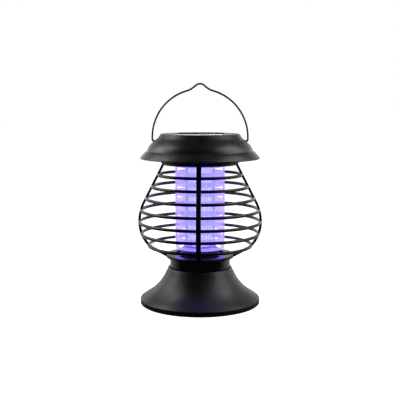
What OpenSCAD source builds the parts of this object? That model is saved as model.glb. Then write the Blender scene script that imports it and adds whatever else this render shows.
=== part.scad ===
// Solar lantern bug zapper. Origin at the centre of the foot, +Z up, front towards -Y.
// The handle swings about X, the head twists about Z, and the cage lifts out of the foot.

/* [Cap] */
// Outer radius of the cap's brim
brim_r = 65; // [64:0.5:67]
// Height of the flat deck above the table
deck_z = 186; // [185.5:0.1:187]
// Radius of the flat deck
deck_r = 42.4; // [41:0.2:43]
// Side of the square solar window
window_w = 51; // [46:0.5:52]
// Turn of the window on the deck, in degrees
window_turn = -2.5; // [-10:0.5:10]
// Wall of the cap and of the foot
wall = 2; // [1.6:0.1:2.2]

/* [Handle] */
// Radius of the handle's bow, to the middle of the wire
bow_r = 51.75; // [51.5:0.05:53]
// Radius of the handle's wire
wire_r = 1; // [0.8:0.05:1.2]
// Height of the handle's pivots
pivot_z = 178.4; // [178.4:0.1:179]
// Slope of the two sides of the hanging peak, in degrees
peak_slope = 40; // [30:1:45]

/* [Cage] */
// Greatest outer radius of the cage
belly_r = 67.9; // [66:0.1:69]
// Height of the cage's widest place
belly_z = 89.5; // [88:0.5:91]
// Width of a rib, along the rings
rib_w = 5.2; // [4:0.1:6]
// Thickness of a rib, across the rings
rib_t = 2.7; // [2.2:0.1:3]
// Thickness of a guard ring
ring_d = 3.4; // [2.6:0.1:3.6]
// Height of the top guard ring
ring_top_z = 141.6; // [140:0.2:143]
// Drop from one guard ring to the next
ring_pitch = 12.9; // [12.5:0.1:13]

/* [Light column] */
// Outer radius of the slotted sleeve
sleeve_r = 27; // [26:0.5:28]
// Height of the sleeve's lower end
sleeve_z = 61.2; // [61.2:0.1:61.8]
// Height of one window in the sleeve
gap_h = 5; // [4:0.1:5.2]
// Distance from one row of windows to the next
gap_pitch = 10.2; // [9.8:0.1:10.4]
// Outer radius of the lamp tube
lamp_r = 12.75; // [11.5:0.25:12.75]

/* [Foot] */
// Outer radius of the foot
foot_r = 65.8; // [64:0.2:68]
// Height of the foot, up to its mouth
foot_h = 40; // [39:0.5:41]
// Outer radius of the neck
neck_r = 33; // [32.8:0.1:33]

/* [Hidden] */
$fn = 96;
eps = 0.01;

black = [0.09, 0.085, 0.09];
gloss_black = [0.03, 0.03, 0.035];
steel = [0.66, 0.66, 0.68];
violet = [0.62, 0.5, 1];

// Heights inside the head
brim_z = deck_z - 26.7;       // underside of the brim
plate_z = brim_z + 1.1;       // underside of the plate that closes the cap
plate_t = 2;
plate_top = plate_z + plate_t;
plate_r = 58.5;
skirt_z = plate_z - 6.8;      // lower edge of the twist-lock skirt
skirt_r = 36;
lug_z = skirt_z + 1.6;
lug_h = 2;
lug_r = skirt_r + 2.2;
lug_half = 10;                // half of a lug's angle
tab_half = 12;                // half of a tab's angle
twist_max = 25;               // travel of the twist lock

// Handle: where the bow ends, the reverse bend and the peak
bow_leave = 15.7;
turn_r = 18.8;
peak_r = 7;
wire_sides = 12;

// Solar window, from the deck down
pocket_z = deck_z - 3.8;
pad_t = 0.6;
cells_t = 0.6;
cover_t = 2;

// Screws of the head and the foot
screw_r = 1.3;
screw_head_r = 2.8;
screw_head_h = 1.6;
head_screw_ring = 48;
foot_screw_ring = 46;

// Cage outline: a straight upper side, then two round stretches, a bend and a straight lower end
upper_arc_r = 50.3;
lower_arc_r = 39;
bend_r = 12;
upper_slope = 27.2;
lower_arc_end = -47;
bend_end = -62.4;
floor_r = 37;
floor_z = 54.3;
floor_t = 3.3;

// Twist-lock collar on top of the cage
collar_r = 42;
collar_z = 152.8;
collar_top = plate_z - 0.4;
lip_top = collar_z + 1.8;
rib_top_z = lip_top - 0.6;

// Light column
sleeve_t = 2.1;
sleeve_top = plate_z;
gap_rows = 9;
gap_top_z = 148.2;
post_w = 4.6;
grid_ring = 16;
grid_wire_r = 0.4;
grid_pairs = 20;
spacer_z = sleeve_z + 1;
spacer_h = 2.4;

// Foot
mouth_r = 34.9;
rim_h = 6.4;
neck_gap = 0.3;
ledge_z = 27.2;
bottom_z = 2.4;
bottom_t = 1.6;

function bezier(a, b, c, d, n) =
    [for (i = [0:n]) let (t = i / n, s = 1 - t)
        s * s * s * a + 3 * s * s * t * b + 3 * s * t * t * c + t * t * t * d];
function polar(c, r, a) = [c[0] + r * cos(a), c[1] + r * sin(a)];
function arc(c, r, a0, a1, n) = [for (i = [0:n]) polar(c, r, a0 + (a1 - a0) * i / n)];

// Cage outline at a depth under its outer face
upper_centre = [belly_r - upper_arc_r, belly_z];
lower_centre = [belly_r - lower_arc_r, belly_z];
bend_centre = polar(polar(lower_centre, lower_arc_r, lower_arc_end), bend_r, lower_arc_end + 180);
function cage_top(depth) =
    let (start = polar(upper_centre, upper_arc_r - depth, upper_slope),
         rise = rib_top_z - start[1])
    [start[0] - rise * tan(upper_slope), start[1] + rise];
function cage_end(depth) =
    let (start = polar(bend_centre, bend_r - depth, bend_end), reach = start[0] - floor_r + 4)
    [start[0] - reach, start[1] - reach * tan(bend_end + 90)];
function cage_outline(depth) = concat(
    [cage_top(depth)],
    arc(upper_centre, upper_arc_r - depth, upper_slope, 0, 10),
    arc(lower_centre, lower_arc_r - depth, -3, lower_arc_end, 14),
    arc(bend_centre, bend_r - depth, lower_arc_end - 4, bend_end, 3),
    [cage_end(depth)]);
// Radius of the outline at a height, down to the bend
function cage_r(z, depth) =
    let (side = polar(upper_centre, upper_arc_r - depth, upper_slope))
    z > side[1] ? side[0] - (z - side[1]) * tan(upper_slope)
    : z > belly_z ? upper_centre[0] + sqrt(pow(upper_arc_r - depth, 2) - pow(z - belly_z, 2))
    : lower_centre[0] + sqrt(pow(lower_arc_r - depth, 2) - pow(z - belly_z, 2));

// Cap outline at a depth under its outer face
dome_edge = [brim_r - 7.7, brim_z + 9];
function sink(points, depth) = [for (p = points) p - [depth, depth]];
function cap_outline(depth, low) = concat(
    [[0, deck_z - depth]],
    sink([[deck_r, deck_z], [deck_r + 0.6, deck_z - 0.5]], depth),
    sink(bezier([deck_r + 3.4, deck_z - 4.4], [deck_r + 8.1, deck_z - 8.2],
        [dome_edge[0] - 1.7, dome_edge[1] + 6.3], dome_edge, 12), depth),
    sink(bezier([dome_edge[0] + 0.1, dome_edge[1] - 0.4], [dome_edge[0] + 2.5, dome_edge[1] - 1.8],
        [brim_r - 1.6, brim_z + 3.2], [brim_r, brim_z + 0.5], 8), depth),
    [[brim_r - depth, low], [0, low]]);

// Foot outline at a depth under its outer face
function foot_outline(depth, low, high) = concat(
    [[0, low], [foot_r - depth, low], [foot_r - depth, rim_h - 1.9 - depth],
     [foot_r - 0.4 - depth, rim_h - 0.8 - depth]],
    sink(bezier([foot_r - 1.6, rim_h], [foot_r - 8.8, rim_h + 5.6],
        [mouth_r + 9.8, foot_h * 0.39], [mouth_r, foot_h], 16), depth),
    [[0, high]]);

module ring_solid(r_out, r_in, z0, z1) {
    translate([0, 0, z0])
        difference() {
            cylinder(r = r_out, h = z1 - z0);
            translate([0, 0, -1]) cylinder(r = r_in, h = z1 - z0 + 2);
        }
}

// Part of a ring wall between two angles
module sector_wall(r_in, r_out, z0, z1, a0, a1) {
    rotate([0, 0, a0])
        rotate_extrude(angle = a1 - a0)
            translate([r_in, z0]) square([r_out - r_in, z1 - z0]);
}

module pan_screw(length) {
    cylinder(r = screw_head_r, h = screw_head_h);
    translate([0, 0, screw_head_h - eps]) cylinder(r = screw_r, h = length);
}

// Four places on a circle, between the ribs
module at_corners(ring) {
    for (i = [0:3]) rotate([0, 0, 45 + 90 * i]) translate([ring, 0, 0]) children();
}

module square_plate(w, z0, t) {
    rotate([0, 0, window_turn]) translate([-w / 2, -w / 2, z0]) cube([w, w, t]);
}

// ---- head ----

module top_cap() color(black)
    difference() {
        union() {
            difference() {
                rotate_extrude() polygon(cap_outline(0, brim_z));
                rotate_extrude() polygon(cap_outline(wall, brim_z - 5));
            }
            square_plate(window_w + 3.2, pocket_z - 1.6, 4);
            intersection() {
                rotate_extrude() polygon(cap_outline(0.5, brim_z));
                union() {
                    at_corners(head_screw_ring) translate([0, 0, plate_top]) cylinder(r = 3.2, h = 20);
                    for (s = [0, 180])
                        rotate([0, 0, s]) translate([43, 0, pivot_z]) rotate([0, 90, 0])
                            cylinder(r = 3, h = 9);
                }
            }
        }
        square_plate(window_w, pocket_z, 10);
        translate([0, 0, pocket_z - 5]) cylinder(r = 2.5, h = 10);
        at_corners(head_screw_ring) translate([0, 0, plate_top - 1]) cylinder(r = screw_r + 0.1, h = 10);
        translate([-60, 0, pivot_z]) rotate([0, 90, 0]) cylinder(r = wire_r + 0.05, h = 120);
    }

module panel_pad() color([0.05, 0.05, 0.05])
    difference() {
        square_plate(window_w - 0.4, pocket_z, pad_t);
        square_plate(window_w - 5.4, pocket_z - 1, pad_t + 2);
    }

module solar_cells() color([0.06, 0.08, 0.2])
    square_plate(window_w - 1.4, pocket_z + pad_t, cells_t);

module panel_cover() color([0.8, 0.85, 0.9, 0.4])
    square_plate(window_w - 0.4, pocket_z + pad_t + cells_t, cover_t);

// Middle line of the handle's right half, from the leg's foot up to the top of the peak
function half_bow() =
    let (centre = [0, deck_z - 3.7],
         leave = polar(centre, bow_r, 90 - bow_leave),
         turn_centre = polar(leave, turn_r, 90 - bow_leave),
         turned = polar(turn_centre, turn_r, 270 - peak_slope),
         peak_low = turned[1] + (turned[0] - peak_r * sin(peak_slope)) * tan(peak_slope))
    concat([[bow_r, pivot_z - 0.6 * wire_r]],
        arc(centre, bow_r, 0, 90 - bow_leave, 18),
        arc(turn_centre, turn_r, 268 - bow_leave, 270 - peak_slope, 4),
        arc([0, peak_low - peak_r * cos(peak_slope)], peak_r, 90 - peak_slope, 90, 5));

// Both halves, right leg to left leg
function bow_line() =
    let (half = half_bow(), last = len(half) - 1)
    concat(half, [for (i = [last - 1:-1:0]) [-half[i][0], half[i][1]]]);

// Round tube along a line in the XZ plane
module bent_wire(line) {
    last = len(line) - 1;
    rings = [for (i = [0:last])
        let (along = line[min(i + 1, last)] - line[max(i - 1, 0)],
             side = [along[1], -along[0]] / norm(along))
        for (k = [0:wire_sides - 1])
            let (a = 360 * k / wire_sides, out = line[i] + wire_r * cos(a) * side)
            [out[0], wire_r * sin(a), out[1]]];
    skin = [for (i = [0:last - 1], k = [0:wire_sides - 1])
        let (next = (k + 1) % wire_sides, here = i * wire_sides, there = here + wire_sides)
        each [[here + k, there + next, here + next], [here + k, there + k, there + next]]];
    polyhedron(rings, concat(skin, [[for (k = [0:wire_sides - 1]) k],
        [for (k = [wire_sides - 1:-1:0]) last * wire_sides + k]]));
}

module bail_handle() color([0.06, 0.06, 0.06]) {
    bent_wire(bow_line());
    for (s = [0, 180])
        rotate([0, 0, s]) translate([bow_r - 7.5, 0, pivot_z]) rotate([0, 90, 0])
            cylinder(r = wire_r, h = 7.5);
}

switch_y = 50;
knob_travel = 2;

module head_base_plate() color(black)
    difference() {
        union() {
            translate([0, 0, plate_z]) cylinder(r = plate_r, h = plate_t);
            ring_solid(skirt_r, skirt_r - 1.5, skirt_z, plate_z + eps);
            for (i = [0:2])
                sector_wall(skirt_r - 0.5, lug_r, lug_z, lug_z + lug_h, 120 * i - 30 - lug_half,
                    120 * i - 30 + lug_half);
            translate([0, 0, plate_z - 1.2]) cylinder(r = 4, h = 2);
            for (x = [-18, 18], y = [-30, -12]) translate([x, y, plate_top - eps]) cylinder(r = 2, h = 2.1);
        }
        translate([0, 0, plate_z - 3]) cylinder(r = 2, h = 10);
        at_corners(head_screw_ring) translate([0, 0, plate_z - 1]) cylinder(r = screw_r + 0.3, h = 4);
        translate([-4.4, switch_y - 1.7, plate_z - 1]) cube([8.8, 3.4, 4]);
    }

module head_screws() color(steel)
    at_corners(head_screw_ring) translate([0, 0, plate_z - screw_head_h]) pan_screw(10);

battery_r = 7.1;
battery_half = 25;
battery_y = 31;
battery_mid = plate_top + 8.1;

module battery() color([0.2, 0.5, 0.3])
    translate([-battery_half, battery_y, battery_mid]) rotate([0, 90, 0]) {
        cylinder(r = battery_r, h = 2 * battery_half - 1.5);
        translate([0, 0, 2 * battery_half - 1.5 - eps]) cylinder(r = 2.7, h = 1.5);
    }

module battery_holder() color([0.12, 0.12, 0.12])
    difference() {
        translate([-29, battery_y - 8.5, plate_top]) cube([58, 17, 8.6]);
        translate([-27.5, battery_y, battery_mid]) rotate([0, 90, 0]) cylinder(r = battery_r + 0.2, h = 55);
    }

// End plates with a cone for a spring at one end
module battery_contacts() color(steel) {
    for (x = [-27.3, 26.6])
        translate([x, battery_y - 3.5, battery_mid - 3.5]) cube([0.6, 7, 7]);
    translate([-26.7 - eps, battery_y, battery_mid]) rotate([0, 90, 0])
        rotate_extrude() polygon([[0, 0], [3.4, 0], [2.2, 1.6], [0, 1.6]]);
    translate([battery_half + 0.1, battery_y, battery_mid]) rotate([0, 90, 0]) cylinder(r = 1.5, h = 1.6);
}

board_z = plate_top + 2.1;
board_t = 1.6;
board_top = board_z + board_t - eps;

module circuit_board() color([0.05, 0.35, 0.15])
    translate([-22, -34, board_z - eps]) cube([44, 26, board_t]);

module transformer() color([0.75, 0.6, 0.15])
    translate([-10, -21, board_top]) {
        difference() {
            translate([-6.5, -6, 0]) cube([13, 12, 10.5]);
            translate([-4.5, -7, 2]) cube([9, 14, 6.5]);
        }
        translate([0, 0, 1.9]) cylinder(r = 4.3, h = 6.7);
    }

module capacitor() color([0.6, 0.15, 0.08])
    translate([6, -28.5, board_top]) cube([11, 5, 9]);

module board_parts() color([0.15, 0.15, 0.16]) {
    for (i = [0:2])
        translate([4 + 4.5 * i, -17, board_top + 1.3]) rotate([90, 0, 0]) cylinder(r = 1.3, h = 5);
    translate([18.5, -16, board_top]) cylinder(r = 2.5, h = 7);
    translate([2.5, -12.4, board_top]) cube([8, 3, 1.4]);
}

module switch_body() color([0.16, 0.16, 0.17])
    difference() {
        translate([-6.5, switch_y - 3.5, plate_top]) cube([13, 7, 5]);
        translate([-4.4, switch_y - 1.7, plate_top - 1]) cube([8.8, 3.4, 3.4]);
    }

module switch_knob() color([0.3, 0.3, 0.32]) {
    translate([-2, switch_y - 1.2, plate_z - 1.4]) cube([4, 2.4, plate_t + 3.2]);
    for (x = [-1.4, 0, 1.4])
        translate([x, switch_y - 1.2, plate_z - 1.4]) rotate([-90, 0, 0])
            cylinder(r = 0.4, h = 2.4, $fn = 24);
}

// ---- light column, which hangs from the head ----

module led_board() color([0.9, 0.9, 0.88])
    translate([0, 0, plate_z - 2.8]) cylinder(r = 11.2, h = 1.6);

module uv_leds() color(violet)
    for (i = [0:3])
        rotate([0, 0, 90 * i]) translate([6, 0, plate_z - 2.8]) {
            translate([0, 0, -1]) cylinder(r = 2.9, h = 1);
            translate([0, 0, -6]) cylinder(r = 2.5, h = 5 + eps);
            translate([0, 0, -6]) sphere(r = 2.5);
        }

module lamp_tube() color([0.7, 0.75, 1, 0.7])
    difference() {
        union() {
            translate([0, 0, sleeve_z + 6]) cylinder(r = lamp_r, h = sleeve_top - sleeve_z - 6);
            translate([0, 0, sleeve_z + 2]) cylinder(r1 = lamp_r - 4, r2 = lamp_r, h = 4);
        }
        translate([0, 0, sleeve_z + 6]) cylinder(r = lamp_r - 1.3, h = 120);
    }

function gap_z(i) = gap_top_z - gap_pitch * i;

module grid_sleeve() color([0.72, 0.62, 1, 0.55])
    difference() {
        ring_solid(sleeve_r, sleeve_r - sleeve_t, sleeve_z, sleeve_top);
        for (i = [0:gap_rows - 1])
            difference() {
                ring_solid(sleeve_r + 1, sleeve_r - sleeve_t - 1,
                    gap_z(i) - gap_h / 2, gap_z(i) + gap_h / 2);
                translate([-40, -post_w / 2, 0]) cube([80, post_w, 200]);
                translate([-post_w / 2, -40, 0]) cube([post_w, 80, 200]);
            }
    }

// Insulating rings that hold the ends of the grid's wires
module grid_spacers() color([0.16, 0.16, 0.17])
    for (z = [spacer_z, sleeve_top - spacer_h])
        ring_solid(grid_ring + 1.4, grid_ring - 1.4, z, z + spacer_h);

// Every second wire of the grid
module grid_wires(turn)
    for (i = [0:grid_pairs - 1])
        rotate([0, 0, turn + 360 / grid_pairs * i]) translate([grid_ring, 0, spacer_z + spacer_h])
            cylinder(r = grid_wire_r, h = sleeve_top - spacer_z - 2 * spacer_h, $fn = 16);

module grid_wire_live() color(steel) grid_wires(90 / grid_pairs);

module grid_wire_return() color(steel) grid_wires(-90 / grid_pairs);

// ---- cage ----

module rib_blank() {
    translate([0, rib_w / 2, 0]) rotate([90, 0, 0]) linear_extrude(rib_w)
        polygon(concat(cage_outline(0),
            [for (i = [len(cage_outline(0)) - 1:-1:0]) cage_outline(rib_t)[i]]));
}

module rib(angle) color(black)
    rotate([0, 0, angle])
        difference() {
            rib_blank();
            translate([0, 0, floor_z - floor_t]) cylinder(r = floor_r, h = floor_t);
            translate([0, 0, floor_z - floor_t - 20]) cylinder(r = floor_r, h = 20 + eps);
        }

module cage_rib_right() rib(0);
module cage_rib_back() rib(90);
module cage_rib_left() rib(180);
module cage_rib_front() rib(270);

// One guard ring as four bows that end on the sides of the ribs
module guard_ring(i) color(black) {
    z = ring_top_z - ring_pitch * (i - 1);
    difference() {
        translate([0, 0, z]) rotate_extrude()
            translate([cage_r(z, ring_d / 2), 0]) circle(r = ring_d / 2, $fn = 24);
        translate([-90, -rib_w / 2, z - 5]) cube([180, rib_w, 10]);
        translate([-rib_w / 2, -90, z - 5]) cube([rib_w, 180, 10]);
    }
}

module cage_ring_1() guard_ring(1);
module cage_ring_2() guard_ring(2);
module cage_ring_3() guard_ring(3);
module cage_ring_4() guard_ring(4);
module cage_ring_5() guard_ring(5);
module cage_ring_6() guard_ring(6);
module cage_ring_7() guard_ring(7);

// Collar with the twist lock's three tabs and their stops, notched for the ribs
module cage_top_ring() color(black)
    difference() {
        union() {
            rotate_extrude()
                polygon([[skirt_r + 0.6, collar_z], [collar_r - 2.9, collar_z],
                    [collar_r - 1.4, collar_z + 0.5], [collar_r - 0.4, collar_z + 1.5],
                    [collar_r, collar_z + 3], [collar_r, collar_top], [lug_r + 0.4, collar_top],
                    [lug_r + 0.4, lip_top], [skirt_r + 0.6, lip_top]]);
            for (i = [0:2]) {
                sector_wall(skirt_r + 0.4, collar_r - 2, lug_z + lug_h + 0.4, lug_z + lug_h + 2,
                    120 * i - 30 - tab_half, 120 * i - 30 + tab_half);
                for (a = [-lug_half - 4, lug_half + twist_max + 1])
                    sector_wall(skirt_r + 0.8, collar_r - 2, lip_top - 0.4, lug_z + lug_h,
                        120 * i - 30 + a, 120 * i - 30 + a + 3);
            }
        }
        for (i = [0:3])
            rotate([0, 0, 90 * i]) translate([cage_top(rib_t)[0], -rib_w / 2, collar_z - 3])
                cube([10, rib_w, rib_top_z - collar_z + 3]);
    }

// Disc with three curved slots for what drops through, and a round boss
module cage_floor() color(black)
    difference() {
        union() {
            translate([0, 0, floor_z - floor_t])
                rotate_extrude() polygon([[0, 0], [floor_r, 0], [floor_r, floor_t - 0.5],
                    [floor_r - 0.5, floor_t], [0, floor_t]]);
            translate([0, 0, floor_z - eps]) cylinder(r = 20, h = sleeve_z - floor_z - 0.4);
        }
        for (i = [0:2]) rotate([0, 0, 270 + 120 * i]) arc_slot(23, 29, 47);
    }

// Curved slot with round ends through the floor
module arc_slot(r_in, r_out, half) {
    slot_w = r_out - r_in;
    mid = (r_in + r_out) / 2;
    rotate([0, 0, -half])
        rotate_extrude(angle = 2 * half) translate([r_in, floor_z - 8]) square([slot_w, 16]);
    for (a = [-half, half])
        rotate([0, 0, a]) translate([mid, 0, floor_z - 8]) cylinder(r = slot_w / 2, h = 16);
}

module neck_collar() color(gloss_black)
    translate([0, 0, ledge_z + neck_gap])
        rotate_extrude() {
            high = floor_z - floor_t - ledge_z - neck_gap;
            polygon([[neck_r - 2, 0], [neck_r - 0.5, 0], [neck_r, 0.5], [neck_r, high - 1.6],
                [neck_r + 1, high - 1.2], [neck_r + 1, high], [neck_r - 2, high]]);
        }

// ---- foot ----

module base_shell() color(black)
    difference() {
        union() {
            difference() {
                rotate_extrude() polygon(foot_outline(0, 0, foot_h));
                rotate_extrude() polygon(foot_outline(wall, -5, foot_h - wall));
            }
            intersection() {
                rotate_extrude() polygon(foot_outline(0.3, 0, foot_h));
                union() {
                    ring_solid(neck_r + 3, neck_r - 3, ledge_z - 2, foot_h);
                    at_corners(foot_screw_ring) translate([0, 0, bottom_z + bottom_t])
                        cylinder(r = 3.4, h = 25);
                }
            }
        }
        translate([0, 0, ledge_z]) cylinder(r = neck_r + neck_gap, h = 30);
        translate([0, 0, ledge_z - 5]) cylinder(r = neck_r - 2.5, h = 30);
        at_corners(foot_screw_ring) translate([0, 0, bottom_z]) cylinder(r = screw_r + 0.1, h = 12);
    }

module base_bottom() color([0.11, 0.11, 0.11])
    difference() {
        translate([0, 0, bottom_z]) cylinder(r = foot_r - wall - 1.4, h = bottom_t);
        at_corners(foot_screw_ring) translate([0, 0, bottom_z - 1]) cylinder(r = screw_r + 0.3, h = 4);
    }

module base_screws() color(steel)
    at_corners(foot_screw_ring) translate([0, 0, bottom_z - screw_head_h]) pan_screw(9);

top_cap();
panel_pad();
solar_cells();
panel_cover();
bail_handle();
head_base_plate();
head_screws();
battery();
battery_holder();
battery_contacts();
circuit_board();
transformer();
capacitor();
board_parts();
switch_body();
switch_knob();
led_board();
uv_leds();
lamp_tube();
grid_sleeve();
grid_spacers();
grid_wire_live();
grid_wire_return();
cage_top_ring();
cage_rib_right();
cage_rib_back();
cage_rib_left();
cage_rib_front();
cage_ring_1();
cage_ring_2();
cage_ring_3();
cage_ring_4();
cage_ring_5();
cage_ring_6();
cage_ring_7();
cage_floor();
neck_collar();
base_shell();
base_bottom();
base_screws();
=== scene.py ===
import math

import bmesh
import bpy
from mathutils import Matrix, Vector


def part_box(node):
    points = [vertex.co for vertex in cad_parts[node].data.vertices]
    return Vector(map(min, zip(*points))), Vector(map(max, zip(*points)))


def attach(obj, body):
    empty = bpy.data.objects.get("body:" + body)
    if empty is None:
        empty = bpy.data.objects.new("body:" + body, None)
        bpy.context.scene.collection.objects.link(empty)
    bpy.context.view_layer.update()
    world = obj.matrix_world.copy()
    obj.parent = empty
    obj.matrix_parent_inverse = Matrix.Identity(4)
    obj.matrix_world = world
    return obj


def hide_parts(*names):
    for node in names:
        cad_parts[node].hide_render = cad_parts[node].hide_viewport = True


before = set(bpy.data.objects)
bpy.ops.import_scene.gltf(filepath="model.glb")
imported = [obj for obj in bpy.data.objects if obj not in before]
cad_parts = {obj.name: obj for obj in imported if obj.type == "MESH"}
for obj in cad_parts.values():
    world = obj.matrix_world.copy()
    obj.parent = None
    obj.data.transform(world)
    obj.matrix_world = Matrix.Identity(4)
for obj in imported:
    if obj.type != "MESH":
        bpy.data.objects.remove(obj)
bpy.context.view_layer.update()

MM = 0.001
TURN = 2 * math.pi


# ---------------------------------------------------------------- outlines, in millimetres

def polar(centre, radius, angle):
    return (centre[0] + radius * math.cos(angle), centre[1] + radius * math.sin(angle))


def arc(centre, radius, start, end, steps):
    """Points along an arc, angles in degrees."""
    return [polar(centre, radius, math.radians(start + (end - start) * i / steps))
            for i in range(steps + 1)]


def bezier(a, b, c, d, steps):
    """Points along a cubic curve."""
    points = []
    for i in range(steps + 1):
        t = i / steps
        weights = ((1 - t) ** 3, 3 * (1 - t) ** 2 * t, 3 * (1 - t) * t * t, t ** 3)
        points.append(tuple(sum(w * p[k] for w, p in zip(weights, (a, b, c, d))) for k in (0, 1)))
    return points


def rounded(outline, steps=3, closed=True):
    """Rounds the (x, y, radius) corners of an outline; (x, y) points stay as they are."""
    points = []
    count = len(outline)
    for i, corner in enumerate(outline):
        here = Vector(corner[:2])
        if len(corner) < 3 or (not closed and i in (0, count - 1)):
            points.append(tuple(here))
            continue
        before = Vector(outline[i - 1][:2]) - here
        after = Vector(outline[(i + 1) % count][:2]) - here
        reach = corner[2] / math.tan(before.angle(after) / 2)
        reach = min(reach, 0.49 * before.length, 0.49 * after.length)
        start = here + before.normalized() * reach
        end = here + after.normalized() * reach
        for k in range(steps + 1):
            t = k / steps
            points.append(tuple(start * (1 - t) ** 2 + here * 2 * t * (1 - t) + end * t * t))
    return points


def rounded_box(width, height, radius, steps=3):
    x, y = width / 2, height / 2
    return rounded([(x, -y, radius), (x, y, radius), (-x, y, radius), (-x, -y, radius)], steps)


def box_reach(angle, half, corner):
    """Distance from the middle of a round-cornered square to its edge, in a direction."""
    turn = abs((angle + math.pi / 4) % (math.pi / 2) - math.pi / 4)
    if half * math.tan(turn) <= half - corner:
        return half / math.cos(turn)
    inner = half - corner
    along = inner * (math.cos(turn) + math.sin(turn))
    return along + math.sqrt(corner ** 2 - 2 * inner ** 2 + along ** 2)


# ---------------------------------------------------------------- meshes

def finished(work, name, material, smooth=True):
    """Turns a bmesh in millimetres into a piece in metres, with outward faces and a mask of sharp edges."""
    bmesh.ops.remove_doubles(work, verts=work.verts, dist=1e-4)
    bmesh.ops.recalc_face_normals(work, faces=work.faces)
    wear = work.verts.layers.float.new("wear")
    for vert in work.verts:
        bends = [e.calc_face_angle_signed(0) / max(e.calc_length(), 0.2) for e in vert.link_edges]
        bend = max(bends, default=0)
        vert[wear] = min(1.0, max(0.0, 1.6 * bend - 0.2))
    bmesh.ops.scale(work, verts=work.verts, vec=(MM, MM, MM))
    mesh = bpy.data.meshes.new(name)
    work.to_mesh(mesh)
    work.free()
    mesh.polygons.foreach_set("use_smooth", [smooth] * len(mesh.polygons))
    mesh.materials.append(material)
    piece = bpy.data.objects.new(name, mesh)
    bpy.context.scene.collection.objects.link(piece)
    return piece


def skin(work, loops, closed=True, capped=False):
    """Skin over loops of points; closed joins the last loop to the first, capped fills the two ends."""
    rows = [[work.verts.new(p) for p in loop] for loop in loops]
    size = len(loops[0])
    for i in range(len(rows) if closed else len(rows) - 1):
        here, there = rows[i], rows[(i + 1) % len(rows)]
        for k in range(size):
            n = (k + 1) % size
            work.faces.new((here[k], here[n], there[n], there[k]))
    if capped:
        work.faces.new(rows[0][::-1])
        work.faces.new(rows[-1])


def loft(name, loops, material, closed=True, capped=False):
    work = bmesh.new()
    skin(work, loops, closed, capped)
    return finished(work, name, material)


def turned(outline, steps=192):
    """Loops of a closed (radius, height) outline turned about Z."""
    return [[(r * math.cos(TURN * k / steps), r * math.sin(TURN * k / steps), z) for k in range(steps)]
            for r, z in outline]


def sector(work, r_in, r_out, low, high, start, end, steps=12):
    """A piece of ring wall between two angles in degrees."""
    loops = []
    for i in range(steps + 1):
        a = math.radians(start + (end - start) * i / steps)
        loops.append([(r * math.cos(a), r * math.sin(a), z)
                      for r, z in ((r_in, low), (r_out, low), (r_out, high), (r_in, high))])
    skin(work, loops, closed=False, capped=True)


def swept(path, section, across):
    """Loops of an (across, up) section carried along a path in space; across is the sideways direction."""
    loops = []
    last = len(path) - 1
    for i, here in enumerate(path):
        along = (path[min(i + 1, last)] - path[max(i - 1, 0)]).normalized()
        up = along.cross(across).normalized()
        loops.append([here + across * a + up * b for a, b in section])
    return loops


# ---------------------------------------------------------------- places from the frame

def edges(node):
    """Lowest and highest corner of a CAD node in millimetres."""
    low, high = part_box(node)
    return low / MM, high / MM


BRIM_Z, DECK_Z = (corner.z for corner in edges("top_cap"))
WIRE_R = 1
PIVOT_Z = edges("bail_handle")[0].z + WIRE_R
NECK_LOW, NECK_HIGH = (corner.z for corner in edges("neck_collar"))
FOOT_H = edges("base_shell")[1].z
COLLAR_LOW, COLLAR_TOP = (corner.z for corner in edges("cage_top_ring"))

# Cap
BRIM_R = 65
DECK_R = 42.4
WALL = 2
HEAD_SCREW_RING = 48
WINDOW_W = 51
WINDOW_TURN = math.radians(-2.5)
POCKET_DEPTH = 3.8
COVER_TOP = DECK_Z - 0.9
COVER_T = 1.7

# Handle
BOW_R = 51.75
BOW_MIDDLE = DECK_Z - 3.7
BOW_LEAVE = 15.7
TURN_R = 18.8
PEAK_SLOPE = 40
PEAK_R = 7

# Cage
BELLY_R = 67.9
BELLY_Z = 89.5
UPPER_R, LOWER_R, BEND_R = 50.3, 39, 12
UPPER_SLOPE, LOWER_END, BEND_END = 27.2, -47, -62.4
RIB_W, RIB_T = 5.2, 2.7
RING_D = 3.4
RING_TOP_Z = (edges("cage_ring_1")[0].z + edges("cage_ring_1")[1].z) / 2
RING_PITCH = 12.9
FLOOR_R = 37
COLLAR_R = 42
LUG_HEIGHT = 157.2

# Column and foot
LAMP_R = 12.75
NECK_R = 33
FOOT_R = 65.8
MOUTH_R = 34.9
LEDGE_Z = 27.2
FOOT_SCREW_RING = 46

# Studio: how bright the walls and the table are, and where the eye is
FRONT_WALL, BACK_WALL = 0.02, 1.7
FLOOR_GLOW = 1.0
EYE_DISTANCE, EYE_HEIGHT = 837, 222.4
EYE_AZIMUTH, EYE_PITCH = math.radians(1.5), math.radians(7.40)
TABLE_R = 6000
TABLE_Z = -0.2


# ---------------------------------------------------------------- the head

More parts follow.
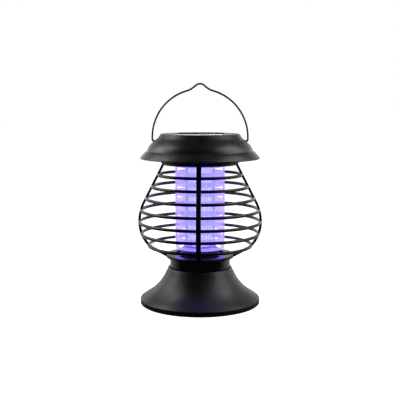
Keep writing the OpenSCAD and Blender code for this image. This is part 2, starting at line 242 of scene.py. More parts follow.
def cap_shell():
    """Roof cap: deck with a square recess, bevel, dome, step and flared brim, all one wall."""
    dome_edge = (BRIM_R - 7.7, BRIM_Z + 9)
    bevel_foot = (DECK_R + 3.4, DECK_Z - 4.4)
    outer = [(DECK_R - 0.6, DECK_Z)]
    deck_edge = [(DECK_R - 0.6, DECK_Z), (DECK_R + 0.4, DECK_Z, 0.5), bevel_foot]
    outer += rounded(deck_edge, 4, closed=False)[1:-1]
    outer += bezier(bevel_foot, (DECK_R + 8.1, DECK_Z - 8.2), (dome_edge[0] - 1.7, dome_edge[1] + 6.3),
                    dome_edge, 20)
    outer += bezier((dome_edge[0] + 0.1, dome_edge[1] - 0.5), (dome_edge[0] + 2.5, dome_edge[1] - 1.8),
                    (BRIM_R - 1.6, BRIM_Z + 3.2), (BRIM_R, BRIM_Z + 0.9), 16)
    outer += arc((BRIM_R - 0.9, BRIM_Z + 0.9), 0.9, 0, -90, 4)[1:]
    inner = [(BRIM_R - WALL, BRIM_Z + 0.1)]
    inner += [(r - WALL, z - WALL) for r, z in bezier(
        (BRIM_R, BRIM_Z + 2.5), (BRIM_R - 2.4, BRIM_Z + 4.4), (dome_edge[0] + 2.5, dome_edge[1] - 1.4),
        dome_edge, 8)]
    inner += [(r - WALL, z - WALL) for r, z in bezier(
        dome_edge, (dome_edge[0] - 1.7, dome_edge[1] + 6.3), (DECK_R + 8.1, DECK_Z - 8.2), bevel_foot, 8)]
    inner += [(DECK_R - WALL, DECK_Z - WALL)]

    corners = [WINDOW_TURN + math.pi / 4 + math.pi / 2 * k + math.radians(0.35 * j)
               for k in range(4) for j in range(-10, 11)]
    angles = sorted({round(a % TURN, 5) for a in [TURN * i / 240 for i in range(240)] + corners})

    def circle(radius, z):
        return [(radius * math.cos(a), radius * math.sin(a), z) for a in angles]

    def square(width, corner, z):
        reach = [box_reach(a - WINDOW_TURN, width / 2, corner) for a in angles]
        return [(r * math.cos(a), r * math.sin(a), z) for r, a in zip(reach, angles)]

    pocket = DECK_Z - POCKET_DEPTH
    loops = [circle(2.5, pocket), square(WINDOW_W - 1, 1, pocket), square(WINDOW_W, 1.2, pocket + 0.3),
             square(WINDOW_W, 1.2, DECK_Z - 0.25), square(WINDOW_W + 0.15, 1.3, DECK_Z - 0.07),
             square(WINDOW_W + 0.5, 1.5, DECK_Z)]
    loops += [circle(r, z) for r, z in outer + inner]
    loops += [square(WINDOW_W + 3.2, 2, DECK_Z - WALL), square(WINDOW_W + 3.2, 2, pocket - 1.6),
              circle(2.5, pocket - 1.6)]
    piece = loft("cap_shell", loops, cap_black)
    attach(piece, "head")
    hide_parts("top_cap")


def solar_window():
    """Clear cover with softened edges, bedded in the recess over the cells."""
    half = WINDOW_W - 0.5
    loops = []
    for inset, z in ((0.25, COVER_TOP - COVER_T), (0, COVER_TOP - COVER_T + 0.2), (0, COVER_TOP - 0.25),
                     (0.3, COVER_TOP)):
        outline = rounded_box(half - 2 * inset, half - 2 * inset, 1.2, 5)
        cos, sin = math.cos(WINDOW_TURN), math.sin(WINDOW_TURN)
        loops.append([(x * cos - y * sin, x * sin + y * cos, z) for x, y in outline])
    piece = loft("window_cover", loops, clear_cover, closed=False, capped=True)
    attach(piece, "head")
    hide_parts("panel_cover")


def wire_handle():
    """One bent wire: turned-in pin, leg, bow, peak and back down the other side."""
    centre = (0, BOW_MIDDLE)
    leave = polar(centre, BOW_R, math.radians(90 - BOW_LEAVE))
    turn_centre = polar(leave, TURN_R, math.radians(90 - BOW_LEAVE))
    turned_end = polar(turn_centre, TURN_R, math.radians(270 - PEAK_SLOPE))
    slope = math.radians(PEAK_SLOPE)
    peak_low = turned_end[1] + (turned_end[0] - PEAK_R * math.sin(slope)) * math.tan(slope)
    half = [(BOW_R - 7.4, PIVOT_Z)] + arc((BOW_R - 1.4, PIVOT_Z + 1.4), 1.4, -90, 0, 6)
    half += arc(centre, BOW_R, 0, 90 - BOW_LEAVE, 60)
    half += arc(turn_centre, TURN_R, 270 - BOW_LEAVE, 270 - PEAK_SLOPE, 10)[1:]
    half += arc((0, peak_low - PEAK_R * math.cos(slope)), PEAK_R, 90 - PEAK_SLOPE, 90, 10)
    line = half + [(-x, z) for x, z in half[-2::-1]]
    path = [Vector((x, 0, z)) for x, z in line]
    section = arc((0, 0), WIRE_R, 0, 337.5, 15)
    bar = swept(path, section, Vector((0, 1, 0)))
    piece = loft("wire_handle", bar, wire_black, closed=False, capped=True)
    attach(piece, "bail")
    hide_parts("bail_handle")


# ---------------------------------------------------------------- the cage

def cage_side(depth):
    """The cage's outline at a depth under its outer face, from the collar down to the floor."""
    upper = (BELLY_R - UPPER_R, BELLY_Z)
    lower = (BELLY_R - LOWER_R, BELLY_Z)
    bend = polar(polar(lower, LOWER_R, math.radians(LOWER_END)), BEND_R, math.radians(LOWER_END + 180))
    start = polar(upper, UPPER_R - depth, math.radians(UPPER_SLOPE))
    rise = COLLAR_LOW + 1.2 - start[1]
    end = polar(bend, BEND_R - depth, math.radians(BEND_END))
    reach = end[0] - FLOOR_R + 0.6
    side = [(start[0] - rise * math.tan(math.radians(UPPER_SLOPE)), start[1] + rise)]
    side += arc(upper, UPPER_R - depth, UPPER_SLOPE, 0, 20)
    side += arc(lower, LOWER_R - depth, -2, LOWER_END, 26)
    side += arc(bend, BEND_R - depth, LOWER_END - 3, BEND_END, 5)
    return side + [(end[0] - reach, end[1] - reach * math.tan(math.radians(BEND_END + 90)))]


def cage_reach(z, depth):
    """Radius of the cage's outline at a height, above the bend."""
    slope = math.radians(UPPER_SLOPE)
    shoulder = polar((BELLY_R - UPPER_R, BELLY_Z), UPPER_R - depth, slope)
    if z > shoulder[1]:
        return shoulder[0] - (z - shoulder[1]) * math.tan(slope)
    size = UPPER_R if z > BELLY_Z else LOWER_R
    return BELLY_R - size + math.sqrt((size - depth) ** 2 - (z - BELLY_Z) ** 2)


def ribs():
    """Four flat ribs with softened edges."""
    section = rounded_box(RIB_W, RIB_T, 0.7, 3)
    for name, angle in (("right", 0), ("back", 90), ("left", 180), ("front", 270)):
        a = math.radians(angle)
        path = [Vector((r * math.cos(a), r * math.sin(a), z)) for r, z in cage_side(RIB_T / 2)]
        across = Vector((-math.sin(a), math.cos(a), 0))
        piece = loft("rib_" + name, swept(path, section, across), cage_black, closed=False, capped=True)
        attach(piece, "cage")
        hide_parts("cage_rib_" + name)


def collar():
    """Ring that takes the head's twist lock, with its three tabs and their stops."""
    lip, bore = COLLAR_LOW + 1.8, 38.6
    outline = rounded([(36.6, COLLAR_LOW, 0.4), (COLLAR_R, COLLAR_LOW, 2.6), (COLLAR_R, COLLAR_TOP, 0.4),
                       (bore, COLLAR_TOP, 0.3), (bore, lip), (36.6, lip, 0.4)], 5)
    work = bmesh.new()
    skin(work, turned(outline))
    for i in range(3):
        middle = 120 * i - 30
        sector(work, 36.4, COLLAR_R - 2, LUG_HEIGHT + 0.4, LUG_HEIGHT + 2, middle - 12, middle + 12)
        for a in (-14, 36):
            sector(work, 36.8, COLLAR_R - 2, lip - 0.4, LUG_HEIGHT, middle + a, middle + a + 3, 3)
    piece = finished(work, "cage_collar", cage_black)
    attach(piece, "cage")
    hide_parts("cage_top_ring")


def neck():
    """Glossy tube between the cage's floor and the foot, with a bead at its top."""
    outline = rounded([(NECK_R - 2, NECK_LOW, 0.3), (NECK_R, NECK_LOW, 0.6), (NECK_R, NECK_HIGH - 1.8, 0.5),
                       (NECK_R + 1, NECK_HIGH - 1.2, 0.5), (NECK_R + 1, NECK_HIGH, 0.3),
                       (NECK_R - 2, NECK_HIGH, 0.3)], 4)
    piece = loft("neck_tube", turned(outline), neck_black)
    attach(piece, "cage")
    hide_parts("neck_collar")


# ---------------------------------------------------------------- the foot

def foot():
    """Bell-shaped foot: upright rim, flare and round mouth, with the ledge the neck sits on."""
    flare = bezier((FOOT_R - 1.3, 6.2), (FOOT_R - 8.6, 12), (MOUTH_R + 9.8, FOOT_H * 0.39),
                   (MOUTH_R, FOOT_H), 40)
    inside = [(r - WALL, z - WALL) for r, z in flare[::4]]
    outline = [(FOOT_R - 0.8, 0)] + arc((FOOT_R - 0.8, 0.8), 0.8, -90, 0, 3)[1:]
    rim_edge = [(FOOT_R, 3), (FOOT_R, 5.3, 1), (FOOT_R - 1.3, 6.2, 1), flare[4]]
    outline += rounded(rim_edge, 5, closed=False)[:-1]
    outline += flare[4:-1] + arc((MOUTH_R - 0.6, FOOT_H - 0.6), 0.6, 20, 90, 3)
    outline += [(NECK_R + 0.4, FOOT_H), (NECK_R + 0.3, FOOT_H - 0.3), (NECK_R + 0.3, LEDGE_Z),
                (NECK_R - 2.5, LEDGE_Z), (NECK_R - 2.5, LEDGE_Z - 2), (MOUTH_R + 4.5, LEDGE_Z - 2)]
    outline += inside[7::-1] + [(FOOT_R - WALL, 2.5), (FOOT_R - WALL, 0.2), (FOOT_R - WALL + 0.2, 0)]
    piece = loft("bell_foot", turned(outline, 240), foot_black)
    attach(piece, "base")
    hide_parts("base_shell")


# ---------------------------------------------------------------- node trees

def put(tree, kind, settings=None, **inputs):
    """Adds a node. Inputs are socket names with _ for a space, or n_2 for the third socket, each given a
    value or another socket."""
    node = tree.nodes.new(kind)
    for key, value in (settings or {}).items():
        setattr(node, key, value)
    for key, value in inputs.items():
        socket = node.inputs[int(key[2:]) if key.startswith("n_") else key.replace("_", " ")]
        if isinstance(value, bpy.types.NodeSocket):
            tree.links.new(value, socket)
        else:
            socket.default_value = value
    return node


def new_group(name, kind, inputs, outputs):
    """An empty node tree with its sockets, each (name, type, default) or (name, type)."""
    tree = bpy.data.node_groups.new(name, kind)
    for label, socket_type, default in inputs:
        socket = tree.interface.new_socket(name=label, in_out="INPUT", socket_type=socket_type)
        if default is not None:
            socket.default_value = default
    for label, socket_type in outputs:
        tree.interface.new_socket(name=label, in_out="OUTPUT", socket_type=socket_type)
    return tree, tree.nodes.new("NodeGroupInput").outputs, tree.nodes.new("NodeGroupOutput").inputs


def sums(tree, operation, a, b=0.0):
    return put(tree, "ShaderNodeMath", {"operation": operation}, n_0=a, n_1=b).outputs[0]


def ramp(tree, value, low, high, start=0.0, end=1.0):
    """Maps value smoothly from low..high to start..end."""
    return put(tree, "ShaderNodeMapRange", {"interpolation_type": "SMOOTHSTEP"}, Value=value, From_Min=low,
               From_Max=high, To_Min=start, To_Max=end).outputs[0]


def blend_colours(tree, factor, a, b):
    """Colour a where factor is 0 and b where it is 1; each is a colour or a socket."""
    node = tree.nodes.new("ShaderNodeMix")
    node.data_type = "RGBA"
    tree.links.new(factor, node.inputs[0])
    for socket, value in ((node.inputs[6], a), (node.inputs[7], b)):
        if isinstance(value, bpy.types.NodeSocket):
            tree.links.new(value, socket)
        else:
            socket.default_value = (*value, 1)
    return node.outputs[2]


def grain_group():
    """Fine pebbled grain of moulded plastic: a height, a roughness and a slight drift of tone."""
    tree, given, out = new_group(
        "moulded_grain", "ShaderNodeTree",
        [("Grain Size", "NodeSocketFloat", 0.5), ("Roughness", "NodeSocketFloat", 0.5),
         ("Roughness Drift", "NodeSocketFloat", 0.05)],
        [("Height", "NodeSocketFloat"), ("Roughness", "NodeSocketFloat"), ("Drift", "NodeSocketFloat")])
    place = put(tree, "ShaderNodeTexCoord").outputs["Object"]
    per_metre = sums(tree, "DIVIDE", 1000.0, given["Grain Size"])
    pebbles = put(tree, "ShaderNodeTexVoronoi", {"feature": "SMOOTH_F1"}, Vector=place, Scale=per_metre)
    dents = put(tree, "ShaderNodeTexNoise", Vector=place, Scale=sums(tree, "MULTIPLY", per_metre, 0.4),
                Detail=3.0)
    clouds = put(tree, "ShaderNodeTexNoise", Vector=place, Scale=45.0, Detail=4.0)
    drift = ramp(tree, clouds.outputs["Fac"], 0.35, 0.65, -1.0, 1.0)
    swing = sums(tree, "MULTIPLY", drift, given["Roughness Drift"])
    tree.links.new(sums(tree, "ADD", pebbles.outputs["Distance"], dents.outputs["Fac"]), out["Height"])
    tree.links.new(sums(tree, "ADD", given["Roughness"], swing), out["Roughness"])
    tree.links.new(drift, out["Drift"])
    return tree


def wear_group():
    """Rubbed edges: the piece's own mask of sharp edges, broken up into scuffs."""
    tree, given, out = new_group(
        "rubbed_edges", "ShaderNodeTree",
        [("Amount", "NodeSocketFloat", 0.5), ("Scuff Size", "NodeSocketFloat", 3.0)],
        [("Mask", "NodeSocketFloat")])
    place = put(tree, "ShaderNodeTexCoord").outputs["Object"]
    edge = put(tree, "ShaderNodeAttribute", {"attribute_name": "wear"}).outputs["Fac"]
    per_metre = sums(tree, "DIVIDE", 1000.0, given["Scuff Size"])
    scuffs = put(tree, "ShaderNodeTexNoise", Vector=place, Scale=per_metre, Detail=6.0, Roughness=0.7)
    broken = ramp(tree, scuffs.outputs["Fac"], 0.45, 0.7)
    mask = sums(tree, "MULTIPLY", edge, broken)
    tree.links.new(sums(tree, "MULTIPLY", mask, given["Amount"]), out["Mask"])
    return tree


def dust_group():
    """Fine dust that lies on upward faces, thicker in drifts."""
    tree, given, out = new_group(
        "settled_dust", "ShaderNodeTree", [("Amount", "NodeSocketFloat", 0.3)],
        [("Mask", "NodeSocketFloat")])
    place = put(tree, "ShaderNodeTexCoord").outputs["Object"]
    facing = put(tree, "ShaderNodeNewGeometry").outputs["Normal"]
    up = put(tree, "ShaderNodeSeparateXYZ", Vector=facing).outputs["Z"]
    specks = put(tree, "ShaderNodeTexNoise", Vector=place, Scale=900.0, Detail=5.0, Roughness=0.8)
    drifts = put(tree, "ShaderNodeTexNoise", Vector=place, Scale=30.0, Detail=3.0)
    lying = sums(tree, "MULTIPLY", ramp(tree, up, 0.5, 1.0), ramp(tree, drifts.outputs["Fac"], 0.3, 0.75))
    mask = sums(tree, "MULTIPLY", lying, ramp(tree, specks.outputs["Fac"], 0.5, 0.75))
    tree.links.new(sums(tree, "MULTIPLY", mask, given["Amount"]), out["Mask"])
    return tree


GRAIN = grain_group()
WEAR = wear_group()
DUST = dust_group()


def new_material(name):
    material = bpy.data.materials.new(name)
    material.use_nodes = True
    tree = material.node_tree
    return material, tree, tree.nodes["Principled BSDF"]


def shade(colour, factor):
    return tuple(min(1.0, c * factor) for c in colour)


def moulded(name, colour, worn, roughness, grain=0.5, depth=0.25, dust=0.0):
    """Moulded or painted surface: grain, cloudy tone, rubbed edges and a little dust."""
    material, tree, shader = new_material(name)
    surface = put(tree, "ShaderNodeGroup", {"node_tree": GRAIN}, Grain_Size=grain, Roughness=roughness)
    rubbed = put(tree, "ShaderNodeGroup", {"node_tree": WEAR}, Amount=0.4).outputs["Mask"]
    settled = put(tree, "ShaderNodeGroup", {"node_tree": DUST}, Amount=dust).outputs["Mask"]
    tone = blend_colours(tree, ramp(tree, surface.outputs["Drift"], -1, 1), shade(colour, 0.85),
                         shade(colour, 1.15))
    tone = blend_colours(tree, rubbed, tone, worn)
    tone = blend_colours(tree, settled, tone, (0.32, 0.3, 0.28))
    tree.links.new(tone, shader.inputs["Base Color"])
    rough = sums(tree, "ADD", surface.outputs["Roughness"], sums(tree, "MULTIPLY", settled, 0.3))
    tree.links.new(rough, shader.inputs["Roughness"])
    bump = put(tree, "ShaderNodeBump", Height=surface.outputs["Height"], Strength=depth, Distance=0.02 * MM)
    tree.links.new(bump.outputs["Normal"], shader.inputs["Normal"])
    return material


def metal(name, colour, roughness, line=0.7, glow=0.0):
    """Drawn or turned metal with fine marks and a little tarnish; glow is the lamp's light on it."""
    material, tree, shader = new_material(name)
    place = put(tree, "ShaderNodeTexCoord").outputs["Object"]
    marks = put(tree, "ShaderNodeTexNoise", Vector=place, Scale=1000.0 / line, Detail=4.0)
    tarnish = put(tree, "ShaderNodeTexNoise", Vector=place, Scale=180.0, Detail=3.0)
    rough = ramp(tree, marks.outputs["Fac"], 0.3, 0.7, roughness * 0.75, roughness * 1.3)
    tree.links.new(rough, shader.inputs["Roughness"])
    tone = blend_colours(tree, ramp(tree, tarnish.outputs["Fac"], 0.4, 0.7), colour, shade(colour, 0.8))
    tree.links.new(tone, shader.inputs["Base Color"])
    bump = put(tree, "ShaderNodeBump", Height=marks.outputs["Fac"], Strength=0.15, Distance=0.01 * MM)
    tree.links.new(bump.outputs["Normal"], shader.inputs["Normal"])
    shader.inputs["Metallic"].default_value = 1.0
    shader.inputs["Emission Color"].default_value = (0.38, 0.44, 0.9, 1)
    shader.inputs["Emission Strength"].default_value = glow
    return material


def lit(name, colour, light, strength, spill=None, clear=0.0, roughness=0.25):
    """Plastic that the lamp lights from within: pale to look at, and a deeper violet in what it throws
    on other pieces. Faint flow marks run down it, and clear is how much shows through."""
    material, tree, shader = new_material(name)
    place = put(tree, "ShaderNodeTexCoord").outputs["Object"]
    drawn = put(tree, "ShaderNodeMapping", Vector=place, Scale=(1.0, 1.0, 0.08)).outputs[0]
    flow = put(tree, "ShaderNodeTexNoise", Vector=drawn, Scale=420.0, Detail=2.0).outputs["Fac"]
    tone = blend_colours(tree, ramp(tree, flow, 0.38, 0.62), shade(light, 0.86), shade(light, 1.14))
    if spill:
        direct = put(tree, "ShaderNodeLightPath").outputs["Is Camera Ray"]
        tone = blend_colours(tree, direct, spill, tone)
        tree.links.new(ramp(tree, direct, 0, 1, 6 * strength, strength), shader.inputs["Emission Strength"])
    else:
        shader.inputs["Emission Strength"].default_value = strength
    tree.links.new(tone, shader.inputs["Emission Color"])
    tree.links.new(ramp(tree, flow, 0.3, 0.7, roughness * 0.8, roughness * 1.2), shader.inputs["Roughness"])
    tree.links.new(blend_colours(tree, flow, shade(colour, 0.9), colour), shader.inputs["Base Color"])
    shader.inputs["Alpha"].default_value = 1 - clear
    return material


def cell_sheet(name):
    """Dark blue cells in rows, with dark gaps, fine fingers and a bright busbar down each row."""
    material, tree, shader = new_material(name)
    place = put(tree, "ShaderNodeTexCoord").outputs["Object"]
    turned_back = put(tree, "ShaderNodeMapping", Vector=place, Rotation=(0, 0, -WINDOW_TURN)).outputs[0]
    across = put(tree, "ShaderNodeSeparateXYZ", Vector=turned_back)

    def stripes(value, pitch, width):
        phase = sums(tree, "FRACT", sums(tree, "ADD", sums(tree, "DIVIDE", value, pitch), 0.5))
        off = sums(tree, "ABSOLUTE", sums(tree, "SUBTRACT", phase, 0.5))
        return ramp(tree, off, width / pitch / 2, width / pitch / 2 + 0.01, 1.0, 0.0)

    cell_w = 12.4 * MM
    gaps = stripes(across.outputs["X"], cell_w, 0.8 * MM)
    busbars = stripes(sums(tree, "ADD", across.outputs["X"], cell_w / 2), cell_w, 0.7 * MM)
    fingers = stripes(across.outputs["Y"], 1.3 * MM, 0.12 * MM)
    crystals = put(tree, "ShaderNodeTexVoronoi", Vector=place, Scale=420.0).outputs["Color"]
    flake = put(tree, "ShaderNodeSeparateXYZ", Vector=crystals).outputs["X"]
    tone = blend_colours(tree, flake, (0.005, 0.009, 0.036), (0.009, 0.015, 0.056))
    tone = blend_colours(tree, sums(tree, "MULTIPLY", fingers, 0.5), tone, (0.3, 0.31, 0.34))
    tone = blend_colours(tree, gaps, tone, (0.05, 0.05, 0.055))
    tone = blend_colours(tree, busbars, tone, (0.5, 0.5, 0.52))
    tree.links.new(tone, shader.inputs["Base Color"])
    tree.links.new(sums(tree, "MULTIPLY", busbars, 0.9), shader.inputs["Metallic"])
    tree.links.new(ramp(tree, flake, 0, 1, 0.2, 0.35), shader.inputs["Roughness"])
    return material


def clear_glass(name):
    """Clear cover: what is under it shows, with a smeared gloss of its own."""
    material, tree, shader = new_material(name)
    place = put(tree, "ShaderNodeTexCoord").outputs["Object"]
    smear = put(tree, "ShaderNodeTexNoise", Vector=place, Scale=60.0, Detail=2.0).outputs["Fac"]
    tree.links.new(ramp(tree, smear, 0.3, 0.7, 0.025, 0.045), shader.inputs["Roughness"])
    tree.links.new(blend_colours(tree, smear, (0.9, 0.93, 0.95), (1, 1, 1)), shader.inputs["Base Color"])
    shader.inputs["Transmission Weight"].default_value = 1.0
    shader.inputs["IOR"].default_value = 1.5
    return material


def board_green(name):
    """Solder mask with traces and pads."""
    material, tree, shader = new_material(name)
    place = put(tree, "ShaderNodeTexCoord").outputs["Object"]
    paths = put(tree, "ShaderNodeTexBrick", Vector=place, Scale=220.0, Mortar_Size=0.06)
    pads = put(tree, "ShaderNodeTexVoronoi", Vector=place, Scale=330.0).outputs["Distance"]
    tone = blend_colours(tree, paths.outputs["Fac"], (0.01, 0.12, 0.035), (0.015, 0.2, 0.06))
    tone = blend_colours(tree, ramp(tree, pads, 0.12, 0.16, 1.0, 0.0), tone, (0.6, 0.58, 0.5))
    tree.links.new(tone, shader.inputs["Base Color"])
    tree.links.new(ramp(tree, paths.outputs["Fac"], 0, 1, 0.3, 0.45), shader.inputs["Roughness"])
    return material


def wound_coil(name):
    """Copper windings under amber tape."""
    material, tree, shader = new_material(name)
    place = put(tree, "ShaderNodeTexCoord").outputs["Object"]
    turns = put(tree, "ShaderNodeTexWave", {"bands_direction": "Z"}, Vector=place, Scale=800.0,
                Distortion=0.4).outputs["Fac"]
    tone = blend_colours(tree, turns, (0.3, 0.16, 0.02), (0.6, 0.42, 0.06))
    tree.links.new(tone, shader.inputs["Base Color"])
    tree.links.new(ramp(tree, turns, 0, 1, 0.3, 0.5), shader.inputs["Roughness"])
    bump = put(tree, "ShaderNodeBump", Height=turns, Strength=0.4, Distance=0.05 * MM)
    tree.links.new(bump.outputs["Normal"], shader.inputs["Normal"])
    return material


# ---------------------------------------------------------------- finishes

BLACK = (0.005, 0.0048, 0.0055)
RUBBED = (0.05, 0.048, 0.05)
cap_black = moulded("cap_black", BLACK, RUBBED, 0.42, dust=0.25)
cage_black = moulded("cage_black", BLACK, RUBBED, 0.34, dust=0.15)
foot_black = moulded("foot_black", BLACK, RUBBED, 0.44, dust=0.25)
neck_black = moulded("neck_black", (0.004, 0.004, 0.0045), RUBBED, 0.14, depth=0.06)
wire_black = moulded("wire_black", (0.012, 0.0115, 0.012), (0.2, 0.19, 0.18), 0.34, grain=0.8)
inner_black = moulded("inner_black", (0.02, 0.02, 0.021), RUBBED, 0.6)
knob_grey = moulded("knob_grey", (0.09, 0.09, 0.095), (0.2, 0.2, 0.2), 0.5)
foam_black = moulded("foam_black", (0.02, 0.02, 0.02), (0.03, 0.03, 0.03), 0.9, grain=0.8, depth=1.0)
battery_green = moulded("battery_green", (0.03, 0.2, 0.07), (0.3, 0.3, 0.28), 0.3, grain=2.0, depth=0.05)
capacitor_red = moulded("capacitor_red", (0.3, 0.04, 0.02), (0.4, 0.1, 0.06), 0.25, grain=1.5, depth=0.1)
mask_white = moulded("mask_white", (0.7, 0.7, 0.68), (0.5, 0.5, 0.48), 0.35, grain=1.0, depth=0.05)
zinc = metal("zinc", (0.55, 0.55, 0.56), 0.32)
nickel = metal("nickel", (0.62, 0.6, 0.57), 0.25)
bare_wire = metal("bare_wire", (0.12, 0.16, 0.16), 0.45, glow=0.7)
lamp_light = lit("lamp_light", (0.5, 0.55, 1.0), (0.53, 0.52, 0.94), 1.0)
sleeve_light = lit("sleeve_light", (0.3, 0.27, 0.5), (0.5, 0.41, 0.92), 0.75, spill=(0.09, 0.03, 1.0),
                   clear=0.35)
led_light = lit("led_light", (0.7, 0.6, 1.0), (0.45, 0.3, 1.0), 3.0)
cells = cell_sheet("cells")
clear_cover = clear_glass("clear_cover")
green_board = board_green("green_board")
coil_tape = wound_coil("coil_tape")


# ---------------------------------------------------------------- repeats, by geometry nodes

def grown(name, tree, inputs, body, replaced):
    """Runs a geometry tree with its inputs by name and keeps the result as a plain mesh."""
    holder = bpy.data.objects.new(name, bpy.data.meshes.new(name))
    bpy.context.scene.collection.objects.link(holder)
    modifier = holder.modifiers.new(name, "NODES")
    modifier.node_group = tree
    sockets = {item.name: item.identifier for item in tree.interface.items_tree
               if item.item_type == "SOCKET" and item.in_out == "INPUT"}
    for label, value in inputs.items():
        modifier[sockets[label]] = value
    bpy.context.view_layer.update()
    shaped = holder.evaluated_get(bpy.context.evaluated_depsgraph_get())
    mesh = bpy.data.meshes.new_from_object(shaped)
    holder.modifiers.remove(modifier)
    holder.data = mesh
    mesh.name = name
    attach(holder, body)
    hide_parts(replaced)
    return holder


def ring_tree():
    """A round bar bent into a ring at a height."""
    tree, given, out = new_group(
        "guard_ring_bar", "GeometryNodeTree",
        [("Ring Radius", "NodeSocketFloat", 0.06), ("Height", "NodeSocketFloat", 0.1),
         ("Bar Radius", "NodeSocketFloat", 0.0014), ("Finish", "NodeSocketMaterial", None)],
        [("Geometry", "NodeSocketGeometry")])
    hoop = put(tree, "GeometryNodeCurvePrimitiveCircle", Resolution=192, Radius=given["Ring Radius"])
    lift = put(tree, "ShaderNodeCombineXYZ", Z=given["Height"])
    placed = put(tree, "GeometryNodeTransform", Geometry=hoop.outputs[0], Translation=lift.outputs[0])
    section = put(tree, "GeometryNodeCurvePrimitiveCircle", Resolution=16, Radius=given["Bar Radius"])
    bar = put(tree, "GeometryNodeCurveToMesh", Curve=placed.outputs[0], Profile_Curve=section.outputs[0])
    smooth = put(tree, "GeometryNodeSetShadeSmooth", Geometry=bar.outputs[0])
    single = put(tree, "GeometryNodeRealizeInstances", Geometry=smooth.outputs[0])
    painted = put(tree, "GeometryNodeSetMaterial", Geometry=single.outputs[0], Material=given["Finish"])
    tree.links.new(painted.outputs[0], out["Geometry"])
    return tree


def guard_rings():
    tree = ring_tree()
    for i in range(7):
        z = RING_TOP_Z - RING_PITCH * i
        grown(f"guard_ring_{i + 1}", tree,
              {"Ring Radius": cage_reach(z, RING_D / 2 + 0.05) * MM, "Height": z * MM,
               "Bar Radius": RING_D / 2 * MM, "Finish": cage_black},
              "cage", f"cage_ring_{i + 1}")


def screw_head():
    """One pan head with a cross recess and its shank, standing on its head at the origin."""
    angles = [TURN * k / 48 for k in range(48)]

    def cross(reach, arm, z):
        points = []
        for a in angles:
            turn = abs((a + math.pi / 4) % (math.pi / 2) - math.pi / 4)
            r = min(reach / math.cos(turn), arm / max(math.sin(turn), 1e-6))
            points.append((r * math.cos(a), r * math.sin(a), z))
        return points

    def circle(r, z):
        return [(r * math.cos(a), r * math.sin(a), z) for a in angles]

    loops = [cross(0.8, 0.25, 1.0), cross(1.5, 0.45, 0.05), circle(1.9, 0.0), circle(2.5, 0.3),
             circle(2.8, 0.8), circle(2.8, 1.5), circle(2.7, 1.6), circle(1.3, 1.6), circle(1.3, 10.5),
             circle(0.4, 11.6)]
    return loft("screw_pattern", loops, zinc, closed=False, capped=True)


def screw_tree():
    """Copies of a screw on a ring, at the four corners."""
    tree, given, out = new_group(
        "screws_on_a_ring", "GeometryNodeTree",
        [("Screw", "NodeSocketObject", None), ("Ring Radius", "NodeSocketFloat", 0.046),
         ("Height", "NodeSocketFloat", 0.0), ("Count", "NodeSocketInt", 4),
         ("Finish", "NodeSocketMaterial", None)],
        [("Geometry", "NodeSocketGeometry")])
    hoop = put(tree, "GeometryNodeCurvePrimitiveCircle", Resolution=given["Count"],
               Radius=given["Ring Radius"])
    spots = put(tree, "GeometryNodeCurveToPoints", {"mode": "EVALUATED"}, Curve=hoop.outputs[0])
    pattern = put(tree, "GeometryNodeObjectInfo", Object=given["Screw"])
    copies = put(tree, "GeometryNodeInstanceOnPoints", Points=spots.outputs[0],
                 Instance=pattern.outputs["Geometry"])
    spin = put(tree, "FunctionNodeRandomValue", {"data_type": "FLOAT"}, n_3=6.28, Seed=4)
    turn = put(tree, "ShaderNodeCombineXYZ", Z=spin.outputs[1])
    turned_copies = put(tree, "GeometryNodeRotateInstances", Instances=copies.outputs[0],
                        Rotation=turn.outputs[0])
    lift = put(tree, "ShaderNodeCombineXYZ", Z=given["Height"])
    placed = put(tree, "GeometryNodeTransform", Geometry=turned_copies.outputs[0],
                 Translation=lift.outputs[0], Rotation=(0, 0, math.pi / 4))
    single = put(tree, "GeometryNodeRealizeInstances", Geometry=placed.outputs[0])
    painted = put(tree, "GeometryNodeSetMaterial", Geometry=single.outputs[0], Material=given["Finish"])
    tree.links.new(painted.outputs[0], out["Geometry"])
    return tree


def screws():
    pattern = screw_head()
    tree = screw_tree()
    for name, ring, body in (("head_screws", HEAD_SCREW_RING, "head"),
                             ("base_screws", FOOT_SCREW_RING, "base")):
        grown(name + "_set", tree,
              {"Screw": pattern, "Ring Radius": ring * MM, "Height": edges(name)[0].z * MM, "Finish": zinc},
              body, name)
    bpy.data.objects.remove(pattern)


# ---------------------------------------------------------------- the light column

def lamp():
    """Frosted tube with a round lower end, lit from above."""
    low, high = (corner.z for corner in edges("lamp_tube"))
    outline = [(0.4, low), (LAMP_R - 4.5, low)] + arc((LAMP_R - 4.5, low + 4.5), 4.5, -80, 0, 8)
    outline += [(LAMP_R, low + 20), (LAMP_R, high - 20), (LAMP_R, high), (LAMP_R - 1.3, high),
                (LAMP_R - 1.3, low + 6), (0.4, low + 4.5)]
    piece = loft("lamp", turned(outline, 96), lamp_light)
    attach(piece, "head")
    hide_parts("lamp_tube")


# ---------------------------------------------------------------- finishes on pieces kept from the frame

def paint():
    """Puts the finishes on the nodes whose own shape is shown."""
    kept = {
        "panel_pad": foam_black, "solar_cells": cells, "head_base_plate": cap_black,
        "battery": battery_green, "battery_holder": inner_black, "battery_contacts": nickel,
        "circuit_board": green_board,
        "transformer": coil_tape, "capacitor": capacitor_red, "board_parts": inner_black,
        "switch_body": inner_black, "switch_knob": knob_grey, "led_board": mask_white, "uv_leds": led_light,
        "grid_sleeve": sleeve_light, "grid_spacers": mask_white, "grid_wire_live": bare_wire,
        "grid_wire_return": bare_wire, "cage_floor": cage_black, "base_bottom": foot_black}
    for node, material in kept.items():
        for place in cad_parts[node].material_slots:
            place.material = material


# ---------------------------------------------------------------- studio

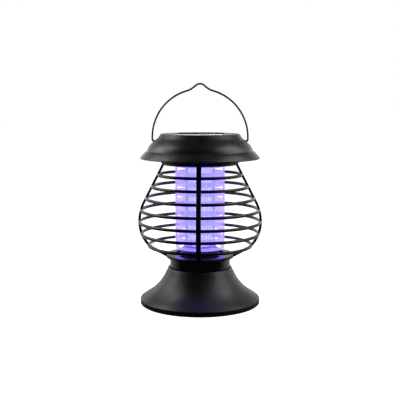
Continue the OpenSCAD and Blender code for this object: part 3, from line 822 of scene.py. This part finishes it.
def camera():
    """The viewer stands almost in front, a little above the cap."""
    data = bpy.data.cameras.new("camera")
    data.lens = 69.39
    data.sensor_width = 36
    eye = bpy.data.objects.new("camera", data)
    eye.location = Vector((EYE_DISTANCE * math.sin(EYE_AZIMUTH), -EYE_DISTANCE * math.cos(EYE_AZIMUTH),
                           EYE_HEIGHT)) * MM
    eye.rotation_euler = (math.pi / 2 - EYE_PITCH, 0, EYE_AZIMUTH)
    bpy.context.scene.collection.objects.link(eye)
    bpy.context.scene.camera = eye


def soft_light(name, azimuth, elevation, reach, width, height, radiance):
    """A soft box turned to the middle of the lantern; azimuth 0 is the front and 90 the right side."""
    middle = Vector((0, 0, 0.11))
    a, e = math.radians(azimuth), math.radians(elevation)
    place = middle + reach * Vector((math.sin(a) * math.cos(e), -math.cos(a) * math.cos(e), math.sin(e)))
    data = bpy.data.lights.new(name, "AREA")
    data.shape = "RECTANGLE"
    data.size, data.size_y = width, height
    data.energy = radiance * math.pi * width * height
    lamp_object = bpy.data.objects.new(name, data)
    lamp_object.location = place
    lamp_object.rotation_euler = (middle - place).to_track_quat("-Z", "Y").to_euler()
    lamp_object.visible_camera = False
    bpy.context.scene.collection.objects.link(lamp_object)


def surroundings():
    """White all round to look at; to the lantern, a white wall behind it, a dark front and a dark ceiling."""
    world = bpy.data.worlds.new("studio")
    bpy.context.scene.world = world
    world.use_nodes = True
    tree = world.node_tree
    toward = put(tree, "ShaderNodeSeparateXYZ", Vector=put(tree, "ShaderNodeTexCoord").outputs["Generated"])
    wall = ramp(tree, toward.outputs["Y"], 0.1, 0.8, FRONT_WALL, BACK_WALL)
    ceiling = ramp(tree, toward.outputs["Z"], 0.08, 0.6, 1.0, 0.0)
    seen = sums(tree, "MULTIPLY", wall, ceiling)
    camera_ray = put(tree, "ShaderNodeLightPath").outputs["Is Camera Ray"]
    strength = put(tree, "ShaderNodeMix", Factor=camera_ray, A=seen, B=1.0).outputs[0]
    tree.links.new(strength, tree.nodes["Background"].inputs["Strength"])
    tree.nodes["Background"].inputs["Color"].default_value = (1, 1, 1, 1)
    bpy.context.scene.view_settings.view_transform = "Standard"


def floor():
    """Pale table top, open from below; its front half throws little light on the lantern."""
    material, tree, shader = new_material("pale_floor")
    place = put(tree, "ShaderNodeTexCoord").outputs["Object"]
    paper = put(tree, "ShaderNodeTexNoise", Vector=place, Scale=300.0, Detail=3.0).outputs["Fac"]
    direct = put(tree, "ShaderNodeLightPath").outputs["Is Camera Ray"]
    depth = put(tree, "ShaderNodeSeparateXYZ", Vector=place).outputs["Y"]
    thrown = blend_colours(tree, ramp(tree, depth, -0.06, 0.06), (0.04, 0.04, 0.04), (0.8, 0.8, 0.8))
    pale = blend_colours(tree, paper, (0.78, 0.78, 0.78), (0.82, 0.82, 0.82))
    tree.links.new(blend_colours(tree, direct, thrown, pale), shader.inputs["Base Color"])
    shader.inputs["Roughness"].default_value = 0.9
    shader.inputs["Specular IOR Level"].default_value = 0.0
    shader.inputs["Emission Color"].default_value = (1, 1, 1, 1)
    below = put(tree, "ShaderNodeNewGeometry").outputs["Backfacing"]
    tree.links.new(sums(tree, "SUBTRACT", 1.0, below), shader.inputs["Alpha"])
    tree.links.new(ramp(tree, direct, 0, 1, 0.0, FLOOR_GLOW), shader.inputs["Emission Strength"])
    work = bmesh.new()
    bmesh.ops.create_circle(work, cap_ends=True, segments=96, radius=TABLE_R)
    table = finished(work, "table_top", material)
    for vert in table.data.vertices:
        vert.co.z = TABLE_Z * MM


cap_shell()
solar_window()
wire_handle()
ribs()
guard_rings()
collar()
neck()
foot()
lamp()
screws()
paint()
camera()
soft_light("left_box", -98, 35, 0.7, 0.36, 0.5, 5.4)
soft_light("right_box", 84, 38, 0.7, 0.52, 0.55, 3.6)
surroundings()
floor()
